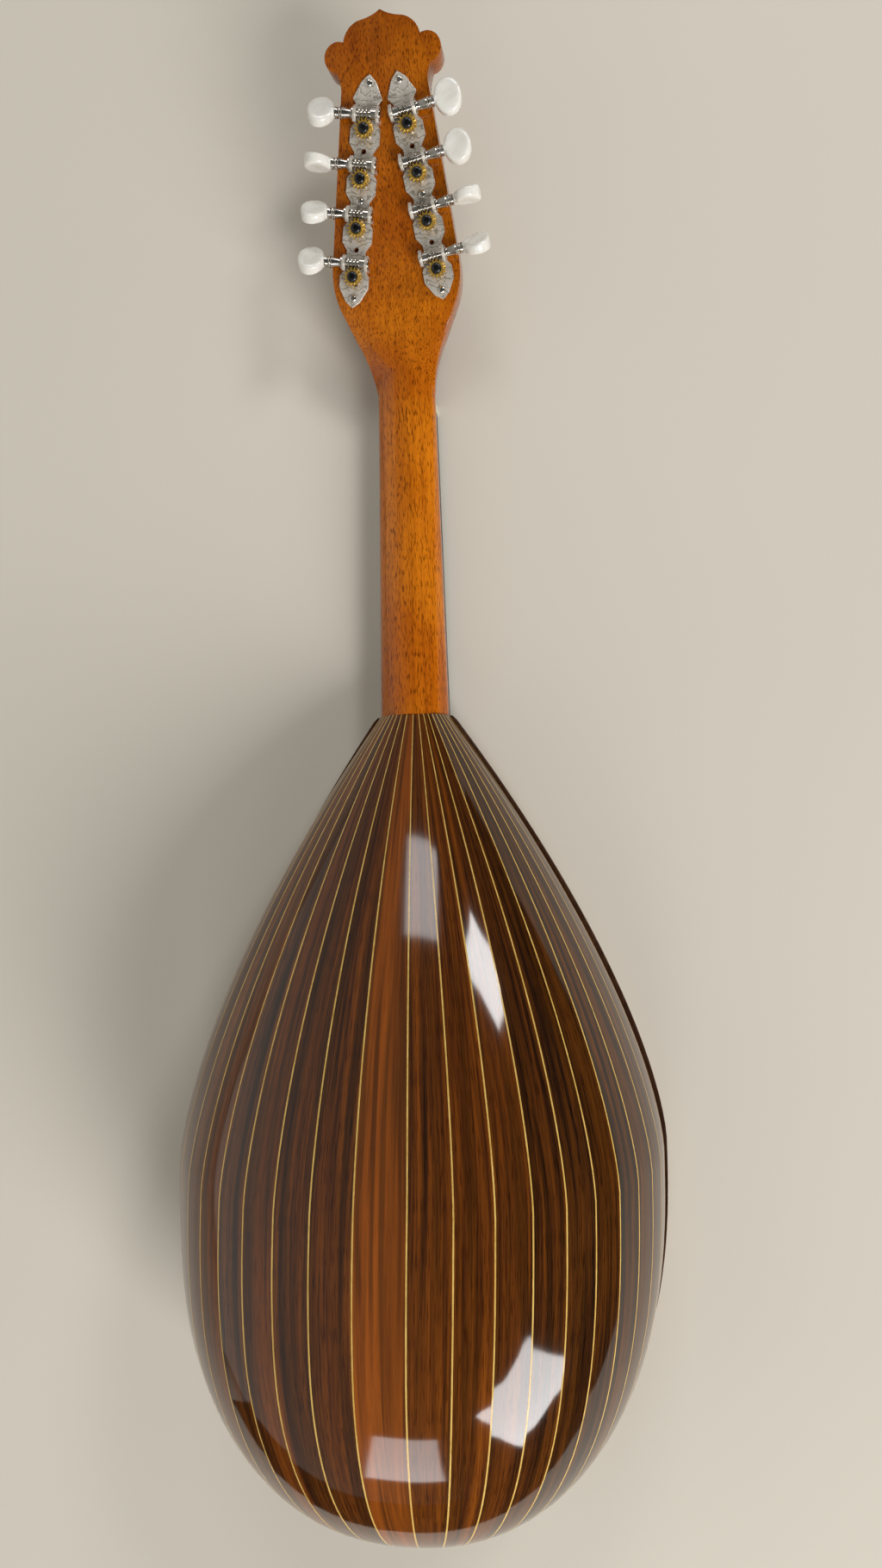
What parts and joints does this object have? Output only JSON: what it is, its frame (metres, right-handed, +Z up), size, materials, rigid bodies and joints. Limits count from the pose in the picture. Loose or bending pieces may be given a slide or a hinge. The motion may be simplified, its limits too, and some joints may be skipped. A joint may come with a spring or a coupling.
{
  "type": "bowl back mandolin",
  "caption": "Round-backed mandolin with a ribbed rosewood bowl, canted soundboard, doubled strings and turning worm-geared tuners, lying face down.",
  "frame": {"origin": "middle of the plan on the plane that the saddle and the nut rest on, the instrument lying face down", "axes": "+X to the right of the back, +Y from the tail to the crest of the headstock, +Z up, out of the bowl"},
  "size_m": [0.224, 0.6758, 0.1318],
  "materials": {
    "mahogany": "gloss",
    "rosewood": "gloss",
    "lining_wood": "matte",
    "spruce": "satin",
    "rosette_inlay": "satin",
    "binding_wood": "gloss",
    "shell_plate": "gloss",
    "ebony": "satin",
    "fret_metal": "satin",
    "bone": "satin",
    "nickel": "gloss",
    "string_steel": "gloss",
    "gear_brass": "gloss",
    "black_screw": "gloss",
    "pearl_plastic": "gloss",
    "steel_post": "gloss"
  },
  "bodies": {
    "instrument": {"neck": "mahogany", "bowl_ribs": "rosewood", "neck_block": "lining_wood", "tail_block": "lining_wood", "rim_linings": "lining_wood", "soundboard": "spruce", "soundboard_bars": "spruce", "soundhole_rosette": "rosette_inlay", "edge_binding": "binding_wood", "scratchplate": "shell_plate", "fretboard": "ebony", "frets": "fret_metal", "nut": "bone", "bridge": "ebony", "bridge_saddle": "bone", "tailpiece": "nickel", "tailpiece_screws": "nickel", "strings": "string_steel", "tuner_plates": "nickel", "plate_screws": "nickel"},
    "key_left_1": {"tuner_button_left_1": "pearl_plastic", "worm_shaft_left_1": "nickel"},
    "post_left_1": {"string_post_left_1": "steel_post", "gear_wheel_left_1": "gear_brass", "gear_screw_left_1": "black_screw"},
    "key_left_2": {"tuner_button_left_2": "pearl_plastic", "worm_shaft_left_2": "nickel"},
    "post_left_2": {"string_post_left_2": "steel_post", "gear_wheel_left_2": "gear_brass", "gear_screw_left_2": "black_screw"},
    "key_left_3": {"tuner_button_left_3": "pearl_plastic", "worm_shaft_left_3": "nickel"},
    "post_left_3": {"string_post_left_3": "steel_post", "gear_wheel_left_3": "gear_brass", "gear_screw_left_3": "black_screw"},
    "key_left_4": {"tuner_button_left_4": "pearl_plastic", "worm_shaft_left_4": "nickel"},
    "post_left_4": {"string_post_left_4": "steel_post", "gear_wheel_left_4": "gear_brass", "gear_screw_left_4": "black_screw"},
    "key_right_1": {"tuner_button_right_1": "pearl_plastic", "worm_shaft_right_1": "nickel"},
    "post_right_1": {"string_post_right_1": "steel_post", "gear_wheel_right_1": "gear_brass", "gear_screw_right_1": "black_screw"},
    "key_right_2": {"tuner_button_right_2": "pearl_plastic", "worm_shaft_right_2": "nickel"},
    "post_right_2": {"string_post_right_2": "steel_post", "gear_wheel_right_2": "gear_brass", "gear_screw_right_2": "black_screw"},
    "key_right_3": {"tuner_button_right_3": "pearl_plastic", "worm_shaft_right_3": "nickel"},
    "post_right_3": {"string_post_right_3": "steel_post", "gear_wheel_right_3": "gear_brass", "gear_screw_right_3": "black_screw"},
    "key_right_4": {"tuner_button_right_4": "pearl_plastic", "worm_shaft_right_4": "nickel"},
    "post_right_4": {"string_post_right_4": "steel_post", "gear_wheel_right_4": "gear_brass", "gear_screw_right_4": "black_screw"}
  },
  "joints": [
    {"name": "key_left_1", "type": "hinge", "parent": "instrument", "child": "key_left_1", "pos_m": [-0.00902, 0.29178, 0.04962], "axis": [0.9877, -0.1527, -0.0339], "continuous": true},
    {"name": "post_left_1", "type": "hinge", "parent": "instrument", "child": "post_left_1", "pos_m": [-0.00995, 0.28691, 0.04444], "axis": [0, -0.217, 0.9762], "continuous": true},
    {"name": "key_left_2", "type": "hinge", "parent": "instrument", "child": "key_left_2", "pos_m": [-0.01226, 0.27177, 0.04517], "axis": [0.9877, -0.1527, -0.0339], "continuous": true},
    {"name": "post_left_2", "type": "hinge", "parent": "instrument", "child": "post_left_2", "pos_m": [-0.0132, 0.26691, 0.03999], "axis": [0, -0.217, 0.9762], "continuous": true},
    {"name": "key_left_3", "type": "hinge", "parent": "instrument", "child": "key_left_3", "pos_m": [-0.01551, 0.25177, 0.04072], "axis": [0.9877, -0.1527, -0.0339], "continuous": true},
    {"name": "post_left_3", "type": "hinge", "parent": "instrument", "child": "post_left_3", "pos_m": [-0.01644, 0.2469, 0.03554], "axis": [0, -0.217, 0.9762], "continuous": true},
    {"name": "key_left_4", "type": "hinge", "parent": "instrument", "child": "key_left_4", "pos_m": [-0.01876, 0.23176, 0.03628], "axis": [0.9877, -0.1527, -0.0339], "continuous": true},
    {"name": "post_left_4", "type": "hinge", "parent": "instrument", "child": "post_left_4", "pos_m": [-0.01969, 0.22689, 0.0311], "axis": [0, -0.217, 0.9762], "continuous": true},
    {"name": "key_right_1", "type": "hinge", "parent": "instrument", "child": "key_right_1", "pos_m": [0.00902, 0.29178, 0.04962], "axis": [0.9877, 0.1527, 0.0339], "continuous": true},
    {"name": "post_right_1", "type": "hinge", "parent": "instrument", "child": "post_right_1", "pos_m": [0.00995, 0.28691, 0.04444], "axis": [0, -0.217, 0.9762], "continuous": true},
    {"name": "key_right_2", "type": "hinge", "parent": "instrument", "child": "key_right_2", "pos_m": [0.01226, 0.27177, 0.04517], "axis": [0.9877, 0.1527, 0.0339], "continuous": true},
    {"name": "post_right_2", "type": "hinge", "parent": "instrument", "child": "post_right_2", "pos_m": [0.0132, 0.26691, 0.03999], "axis": [0, -0.217, 0.9762], "continuous": true},
    {"name": "key_right_3", "type": "hinge", "parent": "instrument", "child": "key_right_3", "pos_m": [0.01551, 0.25177, 0.04072], "axis": [0.9877, 0.1527, 0.0339], "continuous": true},
    {"name": "post_right_3", "type": "hinge", "parent": "instrument", "child": "post_right_3", "pos_m": [0.01644, 0.2469, 0.03554], "axis": [0, -0.217, 0.9762], "continuous": true},
    {"name": "key_right_4", "type": "hinge", "parent": "instrument", "child": "key_right_4", "pos_m": [0.01876, 0.23176, 0.03628], "axis": [0.9877, 0.1527, 0.0339], "continuous": true},
    {"name": "post_right_4", "type": "hinge", "parent": "instrument", "child": "post_right_4", "pos_m": [0.01969, 0.22689, 0.0311], "axis": [0, -0.217, 0.9762], "continuous": true}
  ],
  "couplings": [
    {"joint": "post_left_1", "follows": "key_left_1", "ratio": 0.071429},
    {"joint": "post_left_2", "follows": "key_left_2", "ratio": 0.071429},
    {"joint": "post_left_3", "follows": "key_left_3", "ratio": 0.071429},
    {"joint": "post_left_4", "follows": "key_left_4", "ratio": 0.071429},
    {"joint": "post_right_1", "follows": "key_right_1", "ratio": 0.071429},
    {"joint": "post_right_2", "follows": "key_right_2", "ratio": 0.071429},
    {"joint": "post_right_3", "follows": "key_right_3", "ratio": 0.071429},
    {"joint": "post_right_4", "follows": "key_right_4", "ratio": 0.071429}
  ]
}
